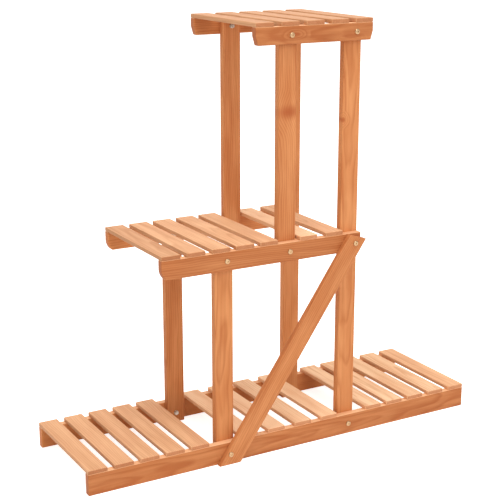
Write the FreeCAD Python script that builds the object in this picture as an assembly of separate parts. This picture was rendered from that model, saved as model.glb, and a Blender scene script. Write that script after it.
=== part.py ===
"""Slatted three-tier plant stand: timber rails, posts, slats and one brace, bolted together."""
import FreeCAD, Part
import math
import os

Vec = FreeCAD.Vector

# The stand: X runs along its length, the front faces -Y, and Z is up from the floor
stand_length = 848.0
stand_depth = 250.0             # over the outer faces of the front and back rails
stand_height = 820.0            # floor to the top of the top slats
middle_shelf_height = 422.5     # floor to the top of the middle slats

# Timber sections
bottom_rail_height = 41.0
middle_rail_height = 36.5
top_rail_height = 32.5
rail_thickness = 14.0
post_width = 38.0
post_thickness = 14.0
slat_width = 38.0
slat_thickness = 8.0
brace_width = 37.0
brace_thickness = 11.0
edge_ease = 1.0                 # planed off the long edges of rails, posts and brace
slat_ease = 1.5                 # planed off all round the top of a slat

# Centre lines of the posts
lower_post_share = 0.335        # of the stand's length, from its left end
tall_post_share = 0.658         # of the stand's length, from its left end
upper_post_share = 0.4886       # of the way from the lower post to the tall one

# Rails past the posts' faces
middle_left_overhang = 113.0
top_left_overhang = 56.0
top_right_overhang = 16.5

# Shaped lower corners of the rails
middle_corner_rise = 20.0       # rounded, at the left end only
middle_corner_inset = 9.0
top_corner_rise = 17.0          # slanted, at both ends
top_corner_inset = 5.0

# Slats: how many in each group, and the shares of a group's free room that lie beside the posts
bottom_outer_count = 5
bottom_inner_count = 4
middle_left_count = 5
middle_right_count = 2
top_count = 5
bottom_outer_gap_share = 0.274
bottom_inner_gap_share = 0.096
middle_left_gap_share = 0.124
middle_right_gap_share = 0.125

# Brace: its left edge, measured left from the centre lines of the posts it joins
brace_foot_lead = 24.0
brace_head_lead = 12.0
brace_head_fall = 18.0          # degrees that the head cut drops to the right

# Bolts and nuts
bolt_diameter = 5.0
bolt_clearance = 0.4            # hole over bolt
bolt_head_diameter = 10.5
bolt_head_height = 2.3
bolt_end = 1.5                  # shown past the nut
nut_across_flats = 8.0
nut_height = 4.0

# Places that follow from the sizes; the origin is on the floor below the middle of the whole
left_x = -stand_length / 2
right_x = stand_length / 2
front_y = -(stand_depth - brace_thickness) / 2
back_y = front_y + stand_depth
front_inner_y = front_y + rail_thickness
back_inner_y = back_y - rail_thickness
brace_y = front_y - brace_thickness

post_half = post_width / 2
lower_x = left_x + stand_length * lower_post_share
tall_x = left_x + stand_length * tall_post_share
upper_x = lower_x + (tall_x - lower_x) * upper_post_share

bottom_z = 0.0
bottom_rail_top = bottom_z + bottom_rail_height
middle_rail_top = middle_shelf_height - slat_thickness
middle_z = middle_rail_top - middle_rail_height
top_rail_top = stand_height - slat_thickness
top_z = top_rail_top - top_rail_height

middle_left_x = lower_x - post_half - middle_left_overhang
middle_right_x = tall_x + post_half
top_left_x = upper_x - post_half - top_left_overhang
top_right_x = tall_x + post_half + top_right_overhang

bolt_hole = bolt_diameter + bolt_clearance
joint_grip = rail_thickness + post_thickness
brace_grip = joint_grip + brace_thickness
parallel = math.cos(math.radians(1))


def runs_along(edge, direction):
    """True for a straight edge parallel to the direction."""
    if not isinstance(edge.Curve, Part.Line):
        return False
    return abs(edge.tangentAt(edge.FirstParameter).dot(direction)) > parallel


def eased(solid, direction):
    """A board with its long edges, along the direction, planed off."""
    return solid.makeChamfer(edge_ease, [edge for edge in solid.Edges if runs_along(edge, direction)])


def lines(points):
    """Straight edges through (x, z) points in turn."""
    corners = [Vec(x, 0, z) for x, z in points]
    return [Part.makeLine(a, b) for a, b in zip(corners, corners[1:])]


def outline_board(edges, near_y, thickness):
    """A board sawn to an outline in the XZ plane, its near face at near_y."""
    face = Part.Face(Part.Wire(edges))
    face.translate(Vec(0, near_y, 0))
    return face.extrude(Vec(0, thickness, 0))


def drilled(board, places, near_y, thickness):
    """The board with bolt holes along Y at (x, z) places."""
    radius = bolt_hole / 2
    return board.cut([Part.makeCylinder(radius, thickness, Vec(x, near_y, z), Vec(0, 1, 0)) for x, z in places])


def bottom_outline():
    """Square-ended bottom rail."""
    return lines([(left_x, bottom_z), (right_x, bottom_z), (right_x, bottom_rail_top),
                  (left_x, bottom_rail_top), (left_x, bottom_z)])


def middle_outline():
    """Middle rail whose lower left corner is an arc, tangent to the end and cut off by the underside."""
    radius = (middle_corner_inset**2 + middle_corner_rise**2) / (2 * middle_corner_inset)
    half_turn = math.asin(middle_corner_rise / radius) / 2
    start = Vec(middle_left_x, 0, middle_z + middle_corner_rise)
    on_arc = start + Vec(radius * (1 - math.cos(half_turn)), 0, -radius * math.sin(half_turn))
    end = Vec(middle_left_x + middle_corner_inset, 0, middle_z)
    corner = Part.Arc(start, on_arc, end).toShape()
    return [corner] + lines([(end.x, middle_z), (middle_right_x, middle_z), (middle_right_x, middle_rail_top),
                             (middle_left_x, middle_rail_top), (middle_left_x, start.z)])


def top_outline():
    """Top rail with both lower corners sawn off at a slant."""
    knee = top_z + top_corner_rise
    return lines([(top_left_x + top_corner_inset, top_z), (top_right_x - top_corner_inset, top_z),
                  (top_right_x, knee), (top_right_x, top_rail_top), (top_left_x, top_rail_top),
                  (top_left_x, knee), (top_left_x + top_corner_inset, top_z)])


def brace(places):
    """The brace: a level foot on the floor and a head cut that falls to the right."""
    foot = Vec(lower_x - brace_foot_lead, 0, bottom_z)
    head = Vec(tall_x - brace_head_lead, 0, middle_rail_top)
    lean = math.atan2(head.z - foot.z, head.x - foot.x)
    foot_length = brace_width / math.sin(lean)
    head_fall = math.radians(brace_head_fall)
    head_length = brace_width / math.sin(lean + head_fall)
    tip = head + Vec(head_length * math.cos(head_fall), 0, -head_length * math.sin(head_fall))
    corners = [foot, foot + Vec(foot_length, 0, 0), tip, head, foot]
    outline = lines([(corner.x, corner.z) for corner in corners])
    board = eased(outline_board(outline, brace_y, brace_thickness), (head - foot).normalize())
    return drilled(board, places, brace_y, brace_thickness)


def rail(outline, near_y, places):
    """A shelf rail with eased edges, drilled for its bolts."""
    board = eased(outline_board(outline, near_y, rail_thickness), Vec(1, 0, 0))
    return drilled(board, places, near_y, rail_thickness)


def post(centre_x, near_y, low_z, high_z, places):
    """An upright with eased edges, drilled for its bolts."""
    board = Part.makeBox(post_width, post_thickness, high_z - low_z, Vec(centre_x - post_half, near_y, low_z))
    return drilled(eased(board, Vec(0, 0, 1)), places, near_y, post_thickness)


def slat(place, base_z):
    """One slat across the rails, eased all round its top."""
    board = Part.makeBox(slat_width, stand_depth, slat_thickness, Vec(place, front_y, base_z))
    top_edges = [edge for edge in board.Edges if edge.BoundBox.ZMin > base_z]
    return board.makeChamfer(slat_ease, [edge for edge in top_edges if not runs_along(edge, Vec(0, 0, 1))])


def slat_places(start, end, count, start_share, end_share):
    """Left edges of evenly spread slats, with shares of the free room kept clear at both ends."""
    room = end - start - count * slat_width
    first = start + room * start_share
    last = end - room * end_share - slat_width
    return [first + (last - first) * index / (count - 1) for index in range(count)]


def bolt(grip):
    """A domed bolt along +Y with the seat of its head at the origin."""
    head_radius = bolt_head_diameter / 2
    shank = bolt_diameter / 2
    length = grip + nut_height + bolt_end
    sphere = (head_radius**2 + bolt_head_height**2) / (2 * bolt_head_height)
    half_turn = math.asin(head_radius / sphere) / 2
    crown = Vec(0, -bolt_head_height, 0)
    on_dome = crown + Vec(sphere * math.sin(half_turn), sphere * (1 - math.cos(half_turn)), 0)
    corners = [Vec(head_radius, 0, 0), Vec(shank, 0, 0), Vec(shank, length, 0), Vec(0, length, 0), crown]
    dome = Part.Arc(crown, on_dome, corners[0]).toShape()
    profile = Part.Wire([dome] + [Part.makeLine(a, b) for a, b in zip(corners, corners[1:])])
    return Part.Face(profile).revolve(Vec(0, 0, 0), Vec(0, 1, 0), 360)


def nut():
    """A hexagon nut along +Y from the origin."""
    reach = nut_across_flats / math.sqrt(3)
    angles = [math.radians(60 * turn) for turn in range(7)]
    ring = [Vec(reach * math.cos(angle), 0, reach * math.sin(angle)) for angle in angles]
    body = Part.Face(Part.makePolygon(ring)).extrude(Vec(0, nut_height, 0))
    return body.cut(Part.makeCylinder(bolt_hole / 2, nut_height, Vec(0, 0, 0), Vec(0, 1, 0)))


def placed(fastener, x, y, z, from_back):
    """A copy of a fastener at its seat, turned round on the back of the stand."""
    copy = fastener.copy()
    if from_back:
        copy.rotate(Vec(0, 0, 0), Vec(0, 0, 1), 180)
    copy.translate(Vec(x, y, z))
    return copy


# Bolt places (x, z): each post crosses its rails at their mid height
bottom_bolt_z = (bottom_z + bottom_rail_top) / 2
middle_bolt_z = (middle_z + middle_rail_top) / 2
top_bolt_z = (top_z + top_rail_top) / 2
lower_bolts = [(lower_x, bottom_bolt_z), (lower_x, middle_bolt_z)]
upper_bolts = [(upper_x, middle_bolt_z), (upper_x, top_bolt_z)]
tall_bolts = [(tall_x, bottom_bolt_z), (tall_x, middle_bolt_z), (tall_x, top_bolt_z)]
post_bolts = lower_bolts + upper_bolts + tall_bolts
brace_bolts = [(lower_x, bottom_bolt_z), (tall_x, middle_bolt_z)]
bottom_bolts = [lower_bolts[0], tall_bolts[0]]
middle_bolts = [lower_bolts[1], upper_bolts[0], tall_bolts[1]]
top_bolts = [upper_bolts[1], tall_bolts[2]]

# Left edges of the slats, shelf by shelf
bottom_slats = (slat_places(left_x, lower_x - post_half, bottom_outer_count, 0, bottom_outer_gap_share)
                + slat_places(lower_x + post_half, tall_x - post_half, bottom_inner_count,
                              bottom_inner_gap_share, bottom_inner_gap_share)
                + slat_places(tall_x + post_half, right_x, bottom_outer_count, bottom_outer_gap_share, 0))
middle_slats = (slat_places(middle_left_x, upper_x - post_half, middle_left_count, 0, middle_left_gap_share)
                + slat_places(upper_x + post_half, tall_x - post_half, middle_right_count,
                              middle_right_gap_share, middle_right_gap_share))
top_slats = slat_places(top_left_x, top_right_x, top_count, 0, 0)

parts = {}
for shelf, outline, rail_top, bolts, slats in (
        ("bottom", bottom_outline(), bottom_rail_top, bottom_bolts, bottom_slats),
        ("middle", middle_outline(), middle_rail_top, middle_bolts, middle_slats),
        ("top", top_outline(), top_rail_top, top_bolts, top_slats)):
    parts[f"{shelf}_front_rail"] = rail(outline, front_y, bolts)
    parts[f"{shelf}_back_rail"] = rail(outline, back_inner_y, bolts)
    for number, place in enumerate(slats, start=1):
        parts[f"{shelf}_slat_{number:02d}"] = slat(place, rail_top)

# Posts stand against the inner faces of the rails
for side, near_y in (("front", front_inner_y), ("back", back_inner_y - post_thickness)):
    parts[f"lower_{side}_post"] = post(lower_x, near_y, bottom_z, middle_rail_top, lower_bolts)
    parts[f"upper_{side}_post"] = post(upper_x, near_y, middle_z, top_rail_top, upper_bolts)
    parts[f"tall_{side}_post"] = post(tall_x, near_y, bottom_z, top_rail_top, tall_bolts)

parts["diagonal_brace"] = brace(brace_bolts)

# Bolt heads lie outside, and the nuts on the inner faces of the posts
front_places = [(x, front_y, z, False) for x, z in post_bolts if (x, z) not in brace_bolts]
back_places = [(x, back_y, z, True) for x, z in post_bolts]
brace_places = [(x, brace_y, z, False) for x, z in brace_bolts]
nut_places = ([(x, front_y + joint_grip, z, False) for x, z in post_bolts]
              + [(x, back_y - joint_grip, z, True) for x, z in post_bolts])
for name, fastener, places in (("rail_bolts", bolt(joint_grip), front_places + back_places),
                               ("brace_bolts", bolt(brace_grip), brace_places),
                               ("bolt_nuts", nut(), nut_places)):
    parts[name] = Part.makeCompound([placed(fastener, *place) for place in places])

os.makedirs("parts", exist_ok=True)
for name, shape in parts.items():
    shape.exportStep(f"parts/{name}.step")
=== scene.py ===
# %% [markdown]
# # A stepped slatted plant stand
# The stand is light softwood: three slatted shelves on front and back rails, six posts inside the rails and one
# brace across the front, all held by domed bolts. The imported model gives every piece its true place, so it is
# loaded first and never moved. The boards that show are then made again with rounded edges and wood grain.

# %% Load the frame
import math
import random

import bmesh
import bpy
from mathutils import Matrix, Vector


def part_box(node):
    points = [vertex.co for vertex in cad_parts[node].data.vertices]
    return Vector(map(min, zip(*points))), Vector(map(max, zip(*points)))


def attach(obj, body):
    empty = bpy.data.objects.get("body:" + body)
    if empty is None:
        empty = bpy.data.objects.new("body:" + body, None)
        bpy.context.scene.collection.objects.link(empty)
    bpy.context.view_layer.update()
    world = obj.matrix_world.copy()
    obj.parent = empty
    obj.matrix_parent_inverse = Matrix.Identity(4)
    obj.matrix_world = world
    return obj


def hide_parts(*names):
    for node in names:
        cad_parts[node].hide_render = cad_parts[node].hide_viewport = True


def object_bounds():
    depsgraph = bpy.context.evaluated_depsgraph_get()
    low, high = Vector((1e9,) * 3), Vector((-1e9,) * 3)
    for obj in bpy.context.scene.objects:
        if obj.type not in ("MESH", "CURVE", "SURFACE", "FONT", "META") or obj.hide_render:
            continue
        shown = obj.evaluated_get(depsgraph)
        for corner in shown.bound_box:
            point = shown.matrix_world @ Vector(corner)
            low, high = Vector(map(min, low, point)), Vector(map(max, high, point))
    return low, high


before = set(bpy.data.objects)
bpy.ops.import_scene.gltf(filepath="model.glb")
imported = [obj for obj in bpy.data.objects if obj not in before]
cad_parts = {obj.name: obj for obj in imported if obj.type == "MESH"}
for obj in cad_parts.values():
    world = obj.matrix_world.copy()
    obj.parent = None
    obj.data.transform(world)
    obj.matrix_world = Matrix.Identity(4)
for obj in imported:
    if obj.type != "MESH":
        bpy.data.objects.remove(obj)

MM = 0.001
cad_low, cad_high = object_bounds()
print("frame:", len(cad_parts), "nodes,", [round(side, 3) for side in cad_high - cad_low], "m")

# %% [markdown]
# ## Camera
# The photograph looks down at the stand from its front left, with a long lens. The camera's place, turn and lens
# were found by fitting the stand's corners to their places in the picture, so they are plain numbers here. The
# lens has no shift: the camera is only tilted down, and other views can use it as it is.

# %% Place the camera
camera_place = Vector((-1.1524, -1.9699, 0.9972))
camera_turn = math.radians(29.80)
camera_tilt = math.radians(15.36)
camera_data = bpy.data.cameras.new("photo_camera")
camera_data.sensor_width = 36.0
camera_data.lens = 87.17
camera = bpy.data.objects.new("photo_camera", camera_data)
camera.location = camera_place
camera.rotation_euler = (math.pi / 2 - camera_tilt, 0, -camera_turn)
bpy.context.scene.collection.objects.link(camera)
bpy.context.scene.camera = camera
bpy.context.scene.view_settings.view_transform = "Standard"
print("camera:", [round(v, 3) for v in camera_place], "lens", camera_data.lens)

# %% [markdown]
# ## Colours and nodes
# Colours are easiest to choose as sRGB hex values, as a picture editor shows them, but a shader works in linear
# light. One function turns the first into the second. Another adds a node to a material with its settings and
# links, so that a whole material reads as a list of steps.

# %% Two helpers for materials
def linear(colour):
    """An sRGB hex colour as the linear colour that shaders take."""
    channels = [int(colour[at:at + 2], 16) / 255 for at in (1, 3, 5)]
    return [c / 12.92 if c <= 0.04045 else ((c + 0.055) / 1.055) ** 2.4 for c in channels] + [1.0]


def add(tree, kind, settings=None, inputs=None):
    """A new node: settings are its properties, inputs are values or links by socket name or number."""
    made = tree.nodes.new("ShaderNode" + kind)
    for name, value in (settings or {}).items():
        setattr(made, name, value)
    for name, value in (inputs or {}).items():
        if isinstance(value, bpy.types.NodeSocket):
            tree.links.new(value, made.inputs[name])
        else:
            made.inputs[name].default_value = value
    return made


def new_material(name):
    """An empty node material and its output node."""
    material = bpy.data.materials.new(name)
    material.use_nodes = True
    material.node_tree.nodes.clear()
    return material, material.node_tree, add(material.node_tree, "OutputMaterial")


print("orange stain in linear light:", [round(c, 3) for c in linear("#D88A58")])

# %% [markdown]
# ## Studio
# The picture was taken on white. A large plane is the floor. Its matt white shader keeps the stand's soft shadow,
# and a little glow, for the camera and for reflections only, lifts the rest of it to plain white. The world is white
# for both too, and a calmer grey for lighting, so the stand is never lit more than a room would.

# %% Floor and world
FLOOR_REACH = 30.0
FLOOR_DROP = 0.2 * MM           # keeps the floor from flickering through the rails' undersides
FLOOR_GLOW = 0.74
WORLD_FILL = 0.80


def seen_rays(tree):
    """1 for rays that are seen, directly or in a reflection, and 0 for those that only carry light."""
    rays = add(tree, "LightPath").outputs
    seen = add(tree, "Math", {"operation": "MAXIMUM"}, {0: rays["Is Camera Ray"], 1: rays["Is Glossy Ray"]})
    seen = add(tree, "Math", {"operation": "MAXIMUM"}, {0: seen.outputs[0], 1: rays["Is Transmission Ray"]})
    return seen.outputs[0]


floor_mesh = bpy.data.meshes.new("studio_floor")
floor_shape = bmesh.new()
bmesh.ops.create_grid(floor_shape, x_segments=1, y_segments=1, size=FLOOR_REACH)
floor_shape.to_mesh(floor_mesh)
floor_shape.free()
floor = bpy.data.objects.new("studio_floor", floor_mesh)
floor.location.z = -FLOOR_DROP
bpy.context.scene.collection.objects.link(floor)

floor_paint, tree, output = new_material("matt_white_paint")
glow = add(tree, "Math", {"operation": "MULTIPLY"}, {0: seen_rays(tree), 1: FLOOR_GLOW})
matt = add(tree, "BsdfDiffuse", inputs={"Color": linear("#F4F4F2")})
light = add(tree, "Emission", inputs={"Color": (1, 1, 1, 1), "Strength": glow.outputs[0]})
both = add(tree, "AddShader", inputs={0: matt.outputs[0], 1: light.outputs[0]})
tree.links.new(both.outputs[0], output.inputs["Surface"])
floor_mesh.materials.append(floor_paint)

world = bpy.data.worlds.new("white_studio")
world.use_nodes = True
bpy.context.scene.world = world
tree = world.node_tree
tree.nodes.clear()
fill = add(tree, "Background", inputs={"Color": (1, 1, 1, 1), "Strength": WORLD_FILL})
white = add(tree, "Background", inputs={"Color": (1, 1, 1, 1), "Strength": 1.0})
both = add(tree, "MixShader", inputs={0: seen_rays(tree), 1: fill.outputs[0], 2: white.outputs[0]})
tree.links.new(both.outputs[0], add(tree, "OutputWorld").inputs["Surface"])
print("studio: floor and world")

# %% [markdown]
# ## Lamps
# Three large soft boxes are enough. The key hangs high over the stand, a little to the front left, so that the tops
# are the palest faces, and a weak one in front keeps the posts from going dull. The last stands behind and above: it
# adds a sheen on the varnish.

# %% Soft boxes
stand_centre = (cad_low + cad_high) / 2
for name, place, size, power in (("key_soft_box", Vector((-0.6, -0.9, 4.2)), 2.6, 72.0),
                                 ("front_soft_box", Vector((0.0, -3.4, 2.4)), 2.0, 36.0),
                                 ("back_soft_box", Vector((1.6, 3.2, 2.9)), 2.4, 20.0)):
    lamp_data = bpy.data.lights.new(name, "AREA")
    lamp_data.size = size
    lamp_data.energy = power
    lamp = bpy.data.objects.new(name, lamp_data)
    lamp.location = place
    lamp.rotation_euler = (stand_centre - place).to_track_quat("-Z", "Y").to_euler()
    bpy.context.scene.collection.objects.link(lamp)
    print(name, power, "W")

# %% [markdown]
# ## Stained fir
# The wood is fir, planed, stained a warm orange and finished with a thin satin varnish. What the eye sees is growth
# rings cut lengthwise: fine lines on most faces, long loops where the saw met the rings flat, and arcs on the sawn
# ends. A picture could not follow every board, so the rings are worked out in space: each board carries its own
# coordinates as an attribute called grain, along the board first, measured from the heart of its tree. The distance
# from that line, divided by the ring width, repeats once a ring, and bends round a knot. Fine fibres and broader
# streaks lie over the rings. Other attributes give the board's own tone, its sawn ends and its knot; on some faces
# the tone also carries painted light and shade.

# %% The fir material
RING = 4.2 * MM                 # wide for fir, so that the lines still show from three metres
RING_WANDER = 4.5 * RING
RING_BEND = 3.0 * RING          # how far the rings bend at a knot
FIBRE = 0.9 * MM
STREAK = 9.0 * MM
SMUDGE = 28.0 * MM
# a tone is partly the board's own and partly painted light and shade, set per board and per face below
TONE_STAIN = -0.22              # a paler board took less stain, by this much for each step of its tone,
TONE_LEVEL = 0.05               # and is brighter as a whole
END_STAIN = 0.6


def stained_fir(name, light_wood, dark_wood, red_wood):
    """Planed and stained fir: growth rings, fibres, smudges, streaks, a knot and darker sawn ends."""
    material, tree, output = new_material(name)
    grain = add(tree, "Attribute", {"attribute_name": "grain"}).outputs["Vector"]
    tone = add(tree, "Attribute", {"attribute_name": "tone"}).outputs["Fac"]
    sawn = add(tree, "Attribute", {"attribute_name": "sawn_end"}).outputs["Fac"]
    knot = add(tree, "Attribute", {"attribute_name": "knot"}).outputs["Vector"]

    # rings: distance from the heart of the tree, wandering by a few millimetres and bending round a knot
    across = add(tree, "VectorMath", {"operation": "MULTIPLY"}, {0: grain, 1: (0, 1, 1)})
    radius = add(tree, "VectorMath", {"operation": "LENGTH"}, {0: across.outputs[0]})
    wander_place = add(tree, "VectorMath", {"operation": "MULTIPLY"}, {0: grain, 1: (5, 22, 22)})
    wander = add(tree, "TexNoise", inputs={"Vector": wander_place.outputs[0], "Scale": 1.0, "Detail": 2.0})
    shifted = add(tree, "Math", {"operation": "MULTIPLY_ADD"},
                  {0: wander.outputs["Fac"], 1: RING_WANDER, 2: radius.outputs["Value"]})
    knot_size = add(tree, "VectorMath", {"operation": "LENGTH"}, {0: knot})
    bend = add(tree, "MapRange", {"interpolation_type": "SMOOTHSTEP"},
               {"Value": knot_size.outputs["Value"], "From Max": 5.0, "To Min": RING_BEND, "To Max": 0.0})
    shifted = add(tree, "Math", {"operation": "ADD"}, {0: shifted.outputs[0], 1: bend.outputs[0]})
    turns = add(tree, "Math", {"operation": "DIVIDE"}, {0: shifted.outputs[0], 1: RING})
    ring = add(tree, "Math", {"operation": "FRACT"}, {0: turns.outputs[0]})
    ring_shade = add(tree, "ValToRGB", inputs={"Fac": ring.outputs[0]})
    ramp = ring_shade.color_ramp
    ramp.elements[0].position, ramp.elements[0].color = 0.0, (0.05, 0.05, 0.05, 1)
    ramp.elements[1].position, ramp.elements[1].color = 1.0, (0.05, 0.05, 0.05, 1)
    for position, value in ((0.45, 0.26), (0.80, 0.86)):
        ramp.elements.new(position).color = (value, value, value, 1)

    # fibres, smudges and streaks, long along the board and narrow across it
    noises = []
    for size, stretch, detail, roughness in ((FIBRE, 0.02, 3.0, 0.65), (SMUDGE, 0.25, 2.0, 0.5),
                                             (STREAK, 0.05, 2.0, 0.5)):
        scale = (stretch / size, 1 / size, 1 / size)
        place = add(tree, "VectorMath", {"operation": "MULTIPLY"}, {0: grain, 1: scale})
        noises.append(add(tree, "TexNoise", inputs={"Vector": place.outputs[0], "Scale": 1.0, "Detail": detail,
                                                    "Roughness": roughness}).outputs["Fac"])
    fibre, smudge, streak = noises

    # how dark the stain took: rings fade in and out with the smudges
    ring_part = add(tree, "Math", {"operation": "MULTIPLY"}, {0: ring_shade.outputs["Color"], 1: smudge})
    dark = add(tree, "Math", {"operation": "MULTIPLY_ADD"}, {0: fibre, 1: 0.40, 2: ring_part.outputs[0]})
    dark = add(tree, "Math", {"operation": "MULTIPLY_ADD"}, {0: streak, 1: 1.10, 2: dark.outputs[0]})
    dark = add(tree, "Math", {"operation": "MULTIPLY_ADD"}, {0: tone, 1: TONE_STAIN, 2: dark.outputs[0]})
    dark = add(tree, "MapRange", inputs={"Value": dark.outputs[0], "From Min": 0.62, "From Max": 1.44})
    wood = add(tree, "Mix", {"data_type": "RGBA"},
               {0: dark.outputs[0], 6: linear(light_wood), 7: linear(dark_wood)})
    flush = add(tree, "MapRange", inputs={"Value": smudge, "From Min": 0.42, "From Max": 0.72, "To Max": 0.55})
    wood = add(tree, "Mix", {"data_type": "RGBA"}, {0: flush.outputs[0], 6: wood.outputs[2], 7: linear(red_wood)})

    # the knot: its attribute counts in knot sizes, so one fade from 0.3 to 2.2 suits small and large ones
    knot_far = add(tree, "Math", {"operation": "MULTIPLY_ADD"}, {0: fibre, 1: 0.5, 2: knot_size.outputs["Value"]})
    halo = add(tree, "MapRange", {"interpolation_type": "SMOOTHSTEP"},
               {"Value": knot_far.outputs[0], "From Min": 0.3, "From Max": 2.2, "To Min": 0.85, "To Max": 0.0})
    wood = add(tree, "Mix", {"data_type": "RGBA"}, {0: halo.outputs[0], 6: wood.outputs[2], 7: linear("#A54E1C")})

    # sawn ends drink more stain, and each board is a little lighter or darker than the next; on some faces the tone
    # is painted light or shade
    ends = add(tree, "Math", {"operation": "MULTIPLY"}, {0: sawn, 1: END_STAIN})
    wood = add(tree, "Mix", {"data_type": "RGBA"}, {0: ends.outputs[0], 6: wood.outputs[2], 7: linear("#A85B30")})
    level = add(tree, "Math", {"operation": "MULTIPLY_ADD"}, {0: tone, 1: TONE_LEVEL, 2: 1.0})
    wood = add(tree, "VectorMath", {"operation": "SCALE"}, {0: wood.outputs[2], "Scale": level.outputs[0]})

    gloss = add(tree, "MapRange", inputs={"Value": fibre, "To Min": 0.60, "To Max": 0.74})
    relief = add(tree, "Bump", inputs={"Height": fibre, "Strength": 0.25, "Distance": 0.12 * MM})
    varnish = add(tree, "BsdfPrincipled", inputs={"Base Color": wood.outputs[0], "Roughness": gloss.outputs[0],
                                                  "Normal": relief.outputs[0], "Specular IOR Level": 0.38})
    tree.links.new(varnish.outputs[0], output.inputs["Surface"])
    return material


frame_fir = stained_fir("stained_fir_frame", "#D28A53", "#AA5C29", "#BB6C35")
slat_fir = stained_fir("stained_fir_slats", "#E5AF81", "#C38657", "#D3976B")
# a paler slat wood: painted light for the tops of slats that the shelves shade
painted_light_slat_fir = stained_fir("stained_fir_painted_light", "#EDC095", "#C08250", "#DA9E6F")
print("materials:", frame_fir.name, slat_fir.name, painted_light_slat_fir.name)

# %% [markdown]
# ## Boards
# Each board starts as a block between two corners, so it always fits the frame. A shaped end is sawn with a plane,
# as a saw would do it: bisect_plane cuts the block and the open end is filled. Then the sharp edges are rounded
# with a bevel, because the bright line along an eased edge is what tells the eye that the wood is real.

# %% Saw and plane
SHARP = math.radians(35)


def block(low, high):
    """A solid block between two corners."""
    shape = bmesh.new()
    bmesh.ops.create_cube(shape, size=1.0)
    bmesh.ops.scale(shape, vec=high - low, verts=shape.verts)
    bmesh.ops.translate(shape, vec=(low + high) / 2, verts=shape.verts)
    return shape


def saw(shape, point, outward):
    """Cuts away all that lies beyond a plane, and closes the cut."""
    whole = shape.verts[:] + shape.edges[:] + shape.faces[:]
    cut = bmesh.ops.bisect_plane(shape, geom=whole, plane_co=point, plane_no=outward, clear_outer=True)
    rim = [item for item in cut["geom_cut"] if isinstance(item, bmesh.types.BMEdge)]
    bmesh.ops.holes_fill(shape, edges=rim)


def ease(shape, radius):
    """Rounds every sharp edge, as planing and sanding leave it."""
    sharp = [edge for edge in shape.edges if edge.is_manifold and edge.calc_face_angle() > SHARP]
    rounded = bmesh.ops.bevel(shape, geom=sharp, offset=radius, segments=3, profile=0.5, affect="EDGES", material=-1)
    for face in rounded["faces"]:
        face.smooth = True


print("tools: block, saw, ease")

# %% [markdown]
# ## Grain for each board
# A board's grain runs along its length. When a board is finished, every point gets its place in its own tree: how
# far along, and how far from the heart to the two sides. The heart lies at a random distance and slightly askew, and
# the board's name seeds the choice, so that no two boards look alike and a second run gives the same wood. The upper
# faces can have a wood and a tone of their own, and the sides of some slats a darker tone: painted light and shade.

# %% Finish a board
# each knot: how far along and across from the board's middle, and its size along and across, in millimetres
KNOTS = {"upper_front_post": (61.0, 3.0, 10.0, 20.0), "tall_front_post": (226.0, -17.0, 4.0, 3.5),
         "top_front_rail": (-42.0, 1.0, 7.0, 2.6)}
NO_KNOT = [9.0, 9.0, 9.0]       # so many knot sizes away that no trace is left
HEART_ASIDE = 12.0 * MM
HEART_BEHIND = (14.0 * MM, 40.0 * MM)
HEART_BESIDE = (26.0 * MM, 60.0 * MM)
HEART_LEAN = 0.03
START_SPREAD = 40.0             # metres along the tree, so that no two boards share a stretch of noise
TONE_SPREAD = 0.4
# tones: above 0 paler, below 0 darker, by kind and then by board. Besides the boards' own tones some are painted
# light and shade: bottom slats 06 to 13 and middle slat 06 paler where the shelves above shade them, the back rails
# paler where their inner faces lie in shade, the top slats darker to offset their grazing sheen
KIND_TONE = {"post": 0.4, "rail": -0.5}
RAIL_TOP_PAINTED_LIGHT_TONE = 1.5             # painted light: the rails' upper faces are made as pale as the slats, as if lit from above
BOARD_TONE_AND_PAINTED_LIGHT = {"bottom_back_rail": 2.6, "middle_back_rail": 1.8, "top_front_rail": -0.9, "middle_front_rail": -0.7,
              "tall_back_post": 1.0, "tall_front_post": 0.1, "upper_front_post": -0.4, "lower_front_post": -0.1,
              "upper_back_post": -0.1, "lower_back_post": -0.2, "top_slat_01": -1.4, "top_slat_02": -1.4,
              "top_slat_03": -1.3, "top_slat_04": -1.1, "top_slat_05": -1.4, "bottom_slat_01": -0.4,
              "bottom_slat_03": -0.2, "bottom_slat_06": 1.8, "bottom_slat_07": 1.9, "bottom_slat_08": 1.0,
              "bottom_slat_09": 1.9, "bottom_slat_10": 1.1, "bottom_slat_11": 0.9, "bottom_slat_12": 0.4,
              "bottom_slat_13": 0.4, "bottom_slat_14": 0.6, "middle_slat_01": -1.3, "middle_slat_02": -0.1,
              "middle_slat_04": 0.3, "middle_slat_05": 0.4, "middle_slat_06": 1.9, "middle_slat_07": 0.8}
# painted shade: on these slats the sides are made darker than the top
PAINTED_SHADE_SIDES = ["bottom_slat_01", "bottom_slat_02"] + [f"middle_slat_{number:02d}" for number in range(1, 8)]
PAINTED_SIDE_SHADE_TONE = -1.3
# how far a face's normal has to point up, or along the board, for an upper face or a sawn end
POINTS_UP, POINTS_ALONG = 0.6, 0.8


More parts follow.
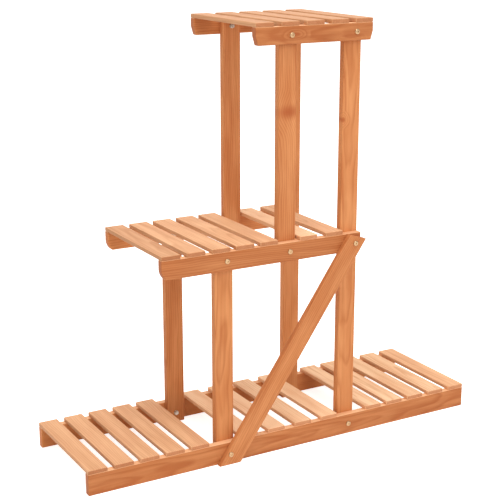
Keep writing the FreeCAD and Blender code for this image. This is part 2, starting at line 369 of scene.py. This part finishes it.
def finish_board(shape, node, wood, top_wood, along, wide, radius):
    """Makes the board that stands for a node, with its grain, tones (some of them painted light and shade), sawn
    ends and knot.
    """
    ease(shape, radius)
    bmesh.ops.recalc_face_normals(shape, faces=shape.faces)
    mesh = bpy.data.meshes.new(node + "_board")
    shape.to_mesh(mesh)
    shape.free()
    low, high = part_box(node)
    middle = (Vector(low) + Vector(high)) / 2
    deep = along.cross(wide)
    draw = random.Random(node)
    behind = (draw.uniform(-HEART_ASIDE, HEART_ASIDE), draw.choice((-1, 1)) * draw.uniform(*HEART_BEHIND))
    beside = (draw.choice((-1, 1)) * draw.uniform(*HEART_BESIDE), draw.uniform(-HEART_ASIDE, HEART_ASIDE))
    heart_side, heart_depth = draw.choice((behind, beside))
    lean = [draw.uniform(-HEART_LEAN, HEART_LEAN), draw.uniform(-HEART_LEAN, HEART_LEAN)]
    start = draw.uniform(0, START_SPREAD)
    own_tone = BOARD_TONE_AND_PAINTED_LIGHT.get(node, draw.uniform(-TONE_SPREAD, TONE_SPREAD))
    tone = KIND_TONE.get(node.split("_")[-1], 0.0) + own_tone
    knot_far, knot_side, knot_long, knot_wide = [value * MM for value in KNOTS.get(node, (0, 0, 0, 0))]
    grain, knots = [], []
    for vertex in mesh.vertices:
        place = vertex.co - middle
        far, side, depth = place.dot(along), place.dot(wide), place.dot(deep)
        grain += [start + far, heart_side + side + far * lean[0], heart_depth + depth + far * lean[1]]
        knots += [(far - knot_far) / knot_long, (side - knot_side) / knot_wide, 0.0] if knot_long else NO_KNOT
    for name, values in (("grain", grain), ("knot", knots)):
        mesh.attributes.new(name, "FLOAT_VECTOR", "POINT").data.foreach_set("vector", values)
    tops = [face.normal.z > POINTS_UP for face in mesh.polygons]
    # painted light: the rails' upper faces get their own paler tone
    top_tone = RAIL_TOP_PAINTED_LIGHT_TONE if node.endswith("_rail") else tone
    # painted shade: the sides of the listed slats get a darker tone than their tops
    side_tone = tone + PAINTED_SIDE_SHADE_TONE if node in PAINTED_SHADE_SIDES else tone
    tones = [top_tone if top else side_tone for top in tops]
    mesh.attributes.new("tone", "FLOAT", "FACE").data.foreach_set("value", tones)
    ends = [1.0 if abs(face.normal.dot(along)) > POINTS_ALONG else 0.0 for face in mesh.polygons]
    mesh.attributes.new("sawn_end", "FLOAT", "FACE").data.foreach_set("value", ends)
    mesh.materials.append(wood)
    # a second wood for the upper faces: on the rails and the shaded slats it is painted light
    if top_wood is not wood:
        mesh.materials.append(top_wood)
        mesh.polygons.foreach_set("material_index", [int(top) for top in tops])
    board = bpy.data.objects.new(node + "_board", mesh)
    bpy.context.scene.collection.objects.link(board)
    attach(board, "root")
    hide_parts(node)


SLAT_EDGE, FRAME_EDGE = 1.6 * MM, 1.4 * MM
X, Y, Z = Vector((1, 0, 0)), Vector((0, 1, 0)), Vector((0, 0, 1))
print("grain runs along the boards")

# %% [markdown]
# ## Slats
# Twenty-six slats lie across the rails. They are the palest boards, with softly rounded edges. The slats under the
# shelves get a paler wood on top: painted light that lifts the shade the shelves above cast on them.

# %% Lay the slats
# painted light: these slats lie under the shelves, and their tops get the paler wood
PAINTED_LIGHT_TOPS = [f"bottom_slat_{number:02d}" for number in range(6, 14)] + ["middle_slat_06"]
slat_nodes = [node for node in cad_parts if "_slat_" in node]
for node in slat_nodes:
    low, high = map(Vector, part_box(node))
    top_wood = painted_light_slat_fir if node in PAINTED_LIGHT_TOPS else slat_fir
    finish_board(block(low, high), node, slat_fir, top_wood, Y, X, SLAT_EDGE)
print(len(slat_nodes), "slats")

# %% [markdown]
# ## Posts
# Six posts stand inside the rails, two of them from the bottom shelf to the top one.

# %% Stand the posts
post_nodes = [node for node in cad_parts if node.endswith("_post")]
for node in post_nodes:
    low, high = map(Vector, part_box(node))
    finish_board(block(low, high), node, frame_fir, frame_fir, Z, X, FRAME_EDGE)
print(len(post_nodes), "posts")

# %% [markdown]
# ## Rails
# The bottom rails are square. The middle rails have a rounded lower corner at their free end, and the top rails
# have both lower corners sawn at a slant. A slant is one saw cut, and a round is a fan of cuts along an arc.

# %% Shape the rails
MIDDLE_ROUND = (9.0 * MM, 20.0 * MM)    # inset along the underside, rise up the end
TOP_SLANT = (5.0 * MM, 17.0 * MM)
ROUND_CUTS = 7
for side in ("front", "back"):
    for shelf in ("bottom", "middle", "top"):
        node = f"{shelf}_{side}_rail"
        low, high = map(Vector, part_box(node))
        board = block(low, high)
        if shelf == "middle":
            inset, rise = MIDDLE_ROUND
            radius = (inset**2 + rise**2) / (2 * inset)
            centre = Vector((low.x + radius, low.y, low.z + rise))
            for step in range(ROUND_CUTS):
                angle = math.asin(rise / radius) * (step + 1) / ROUND_CUTS
                outward = Vector((-math.cos(angle), 0, -math.sin(angle)))
                saw(board, centre + outward * radius, outward)
        if shelf == "top":
            inset, rise = TOP_SLANT
            for end, way in ((low.x, -1), (high.x, 1)):
                saw(board, Vector((end, low.y, low.z + rise)), Vector((way * rise, 0, -inset)).normalized())
        # the rails' upper faces take the slat wood and a paler tone: painted light from above
        finish_board(board, node, frame_fir, slat_fir, X, Z, FRAME_EDGE)
print("6 rails")

# %% [markdown]
# ## Brace
# The brace leans across the front, from the lower post's foot to the tall post. It is a long block turned to its
# lean and sawn level at the floor and at a falling angle at its head.

# %% Lean the brace
BRACE_WIDTH = 37.0 * MM
HEAD_LEAD = 12.0 * MM
HEAD_FALL = math.radians(18)
low, high = map(Vector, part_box("diagonal_brace"))
post_low, post_high = map(Vector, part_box("tall_front_post"))
foot = low.copy()
head = Vector(((post_low.x + post_high.x) / 2 - HEAD_LEAD, low.y, high.z))
length = (head - foot).length
along = (head - foot).normalized()
board = block(Vector((-length, 0, -BRACE_WIDTH)), Vector((2 * length, high.y - low.y, 0)))
brace_lean = math.atan2(along.z, along.x)
bmesh.ops.rotate(board, cent=(0, 0, 0), matrix=Matrix.Rotation(-brace_lean, 3, "Y"), verts=board.verts)
bmesh.ops.translate(board, vec=foot, verts=board.verts)
saw(board, foot, -Z)
saw(board, head, Vector((math.sin(HEAD_FALL), 0, math.cos(HEAD_FALL))))
across = Vector((-along.z, 0, along.x))
finish_board(board, "diagonal_brace", frame_fir, frame_fir, along, across, FRAME_EDGE)
print("brace leans", round(math.degrees(brace_lean), 1), "degrees")

# %% [markdown]
# ## Bolts and nuts
# Domed bolts hold each crossing. They are steel with a yellow zinc plate that looks like pale brass, and each has a
# hexagon socket. The nuts and washers inside are bright zinc. Plated steel is a metal, so its colour is its
# reflection. Fine scratches and a few dull patches keep it from looking like a mirror.

# %% Plated steel
CLOUD = 3.0 * MM
SCRATCH = 0.6 * MM


def plated_steel(name, bright, dull):
    """Zinc plate on turned steel: a metal with faint cloudy patches."""
    material, tree, output = new_material(name)
    place = add(tree, "TexCoord").outputs["Object"]
    cloud = add(tree, "TexNoise", inputs={"Vector": place, "Scale": 1 / CLOUD, "Detail": 3.0})
    scratch = add(tree, "TexNoise", inputs={"Vector": place, "Scale": 1 / SCRATCH, "Detail": 2.0})
    colour = add(tree, "Mix", {"data_type": "RGBA"}, {0: cloud.outputs["Fac"], 6: linear(bright), 7: linear(dull)})
    rough = add(tree, "MapRange", inputs={"Value": scratch.outputs["Fac"], "To Min": 0.18, "To Max": 0.42})
    metal = add(tree, "BsdfPrincipled", inputs={"Base Color": colour.outputs[2], "Metallic": 1.0,
                                                "Roughness": rough.outputs[0]})
    tree.links.new(metal.outputs[0], output.inputs["Surface"])
    return material


yellow_zinc = plated_steel("yellow_zinc_plate", "#CFAE88", "#9C7A55")
bright_zinc = plated_steel("bright_zinc_plate", "#CFC4B4", "#A0968A")
print("materials:", yellow_zinc.name, bright_zinc.name)

# %% [markdown]
# A bolt's head is a disc whose upper rim is bevelled until it is a dome. Its crown is inset, drawn into a hexagon
# and pushed down for the socket. The end of the shank shows past the nut.

# %% Model one bolt, one nut and one washer
HEAD_RADIUS, HEAD_HEIGHT = 5.25 * MM, 2.3 * MM
SOCKET_FLAT, SOCKET_DEPTH = 1.5 * MM, 1.3 * MM
SHANK_RADIUS, NUT_FLAT, NUT_HEIGHT = 2.5 * MM, 4.0 * MM, 4.0 * MM
WASHER_RADIUS, WASHER_HEIGHT = 4.8 * MM, 0.6 * MM
BOLT_END, SHANK_LAP = 1.5 * MM, 0.5 * MM
DOME_SHARE = 0.92               # of the head's height that is rounded
CROWN_INSET = 1.0 * MM
LEVEL = 0.1 * MM                # an edge that rises less than this is part of a rim


def bolt_head():
    """A domed head with a hexagon socket, seated at z = 0 and facing +Z."""
    shape = bmesh.new()
    bmesh.ops.create_cone(shape, cap_ends=True, segments=36, radius1=HEAD_RADIUS, radius2=HEAD_RADIUS,
                          depth=HEAD_HEIGHT)
    bmesh.ops.translate(shape, vec=(0, 0, HEAD_HEIGHT / 2), verts=shape.verts)
    rim = [edge for edge in shape.edges if all(vertex.co.z > HEAD_HEIGHT / 2 for vertex in edge.verts)]
    bmesh.ops.bevel(shape, geom=rim, offset=HEAD_HEIGHT * DOME_SHARE, segments=6, profile=0.5, affect="EDGES",
                    material=-1)
    crown = max(shape.faces, key=lambda face: face.calc_center_median().z)
    bmesh.ops.inset_region(shape, faces=[crown], thickness=CROWN_INSET)
    for vertex in crown.verts:
        angle = math.atan2(vertex.co.y, vertex.co.x)
        sector = (angle + math.pi / 6) % (math.pi / 3) - math.pi / 6
        vertex.co.xy = Vector((math.cos(angle), math.sin(angle))) * SOCKET_FLAT / math.cos(sector)
    pushed = bmesh.ops.extrude_face_region(shape, geom=[crown])
    bmesh.ops.delete(shape, geom=[crown], context="FACES_ONLY")
    floor_points = [item for item in pushed["geom"] if isinstance(item, bmesh.types.BMVert)]
    bmesh.ops.translate(shape, vec=(0, 0, -SOCKET_DEPTH), verts=floor_points)
    for face in shape.faces:
        face.smooth = len(face.verts) == 4 and face.calc_center_median().xy.length > 2 * SOCKET_FLAT
    return shape


def nut_and_washer():
    """A washer, a hexagon nut and the end of the shank, seated at z = 0 and facing +Z."""
    shape = bmesh.new()
    for count, radius, bottom, top, round_off in (
            (32, WASHER_RADIUS, 0, WASHER_HEIGHT, 0.2 * MM),
            (6, NUT_FLAT / math.cos(math.pi / 6), WASHER_HEIGHT, NUT_HEIGHT, 0.35 * MM),
            (24, SHANK_RADIUS, NUT_HEIGHT - SHANK_LAP, NUT_HEIGHT + BOLT_END, 0.4 * MM)):
        half = (bottom + top) / 2
        made = bmesh.ops.create_cone(shape, cap_ends=True, segments=count, radius1=radius, radius2=radius,
                                     depth=top - bottom)
        bmesh.ops.translate(shape, vec=(0, 0, half), verts=made["verts"])
        rims = {edge for vertex in made["verts"] for edge in vertex.link_edges
                if abs(edge.verts[0].co.z - edge.verts[1].co.z) < LEVEL and edge.verts[0].co.z > half}
        bmesh.ops.bevel(shape, geom=list(rims), offset=round_off, segments=2, profile=0.5, affect="EDGES",
                        material=-1)
    return shape


head_shape, nut_shape = bolt_head(), nut_and_washer()
print("faces: bolt head", len(head_shape.faces), "nut", len(nut_shape.faces))

# %% [markdown]
# The places of the bolts come from the frame: a bolt sits where a post crosses a rail, at half the rail's height.

# %% Set the fasteners
def group_piece(name, node, material, pattern, places):
    """One piece made of copies of a small shape, each facing out along -Y or +Y."""
    mesh = bpy.data.meshes.new(name)
    whole = bmesh.new()
    for x, y, z, way in places:
        copy = bpy.data.meshes.new("copy")
        pattern.to_mesh(copy)
        copy.transform(Matrix.Translation((x, y, z)) @ Matrix.Rotation(-way * math.pi / 2, 4, "X"))
        whole.from_mesh(copy)
        bpy.data.meshes.remove(copy)
    whole.to_mesh(mesh)
    whole.free()
    mesh.materials.append(material)
    piece = bpy.data.objects.new(name, mesh)
    bpy.context.scene.collection.objects.link(piece)
    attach(piece, "root")
    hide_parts(node)
    print(name, len(places), "copies")


rail_middle = {shelf: sum(corner[2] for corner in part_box(f"{shelf}_front_rail")) / 2
               for shelf in ("bottom", "middle", "top")}
post_middle = {kind: sum(corner[0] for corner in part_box(f"{kind}_front_post")) / 2
               for kind in ("lower", "upper", "tall")}
crossings = [("lower", "bottom"), ("lower", "middle"), ("upper", "middle"), ("upper", "top"),
             ("tall", "bottom"), ("tall", "middle"), ("tall", "top")]
braced = [("lower", "bottom"), ("tall", "middle")]
front_face, back_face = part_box("bottom_front_rail")[0][1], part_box("bottom_back_rail")[1][1]
front_inside, back_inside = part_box("tall_front_post")[1][1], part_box("tall_back_post")[0][1]
brace_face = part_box("diagonal_brace")[0][1]
rail_places = [(post_middle[p], front_face, rail_middle[s], -1) for p, s in crossings if (p, s) not in braced]
rail_places += [(post_middle[p], back_face, rail_middle[s], 1) for p, s in crossings]
brace_places = [(post_middle[p], brace_face, rail_middle[s], -1) for p, s in braced]
nut_places = [(post_middle[p], front_inside, rail_middle[s], 1) for p, s in crossings]
nut_places += [(post_middle[p], back_inside, rail_middle[s], -1) for p, s in crossings]
group_piece("rail_bolt_heads", "rail_bolts", yellow_zinc, head_shape, rail_places)
group_piece("brace_bolt_heads", "brace_bolts", yellow_zinc, head_shape, brace_places)
group_piece("nuts_and_washers", "bolt_nuts", bright_zinc, nut_shape, nut_places)
head_shape.free()
nut_shape.free()
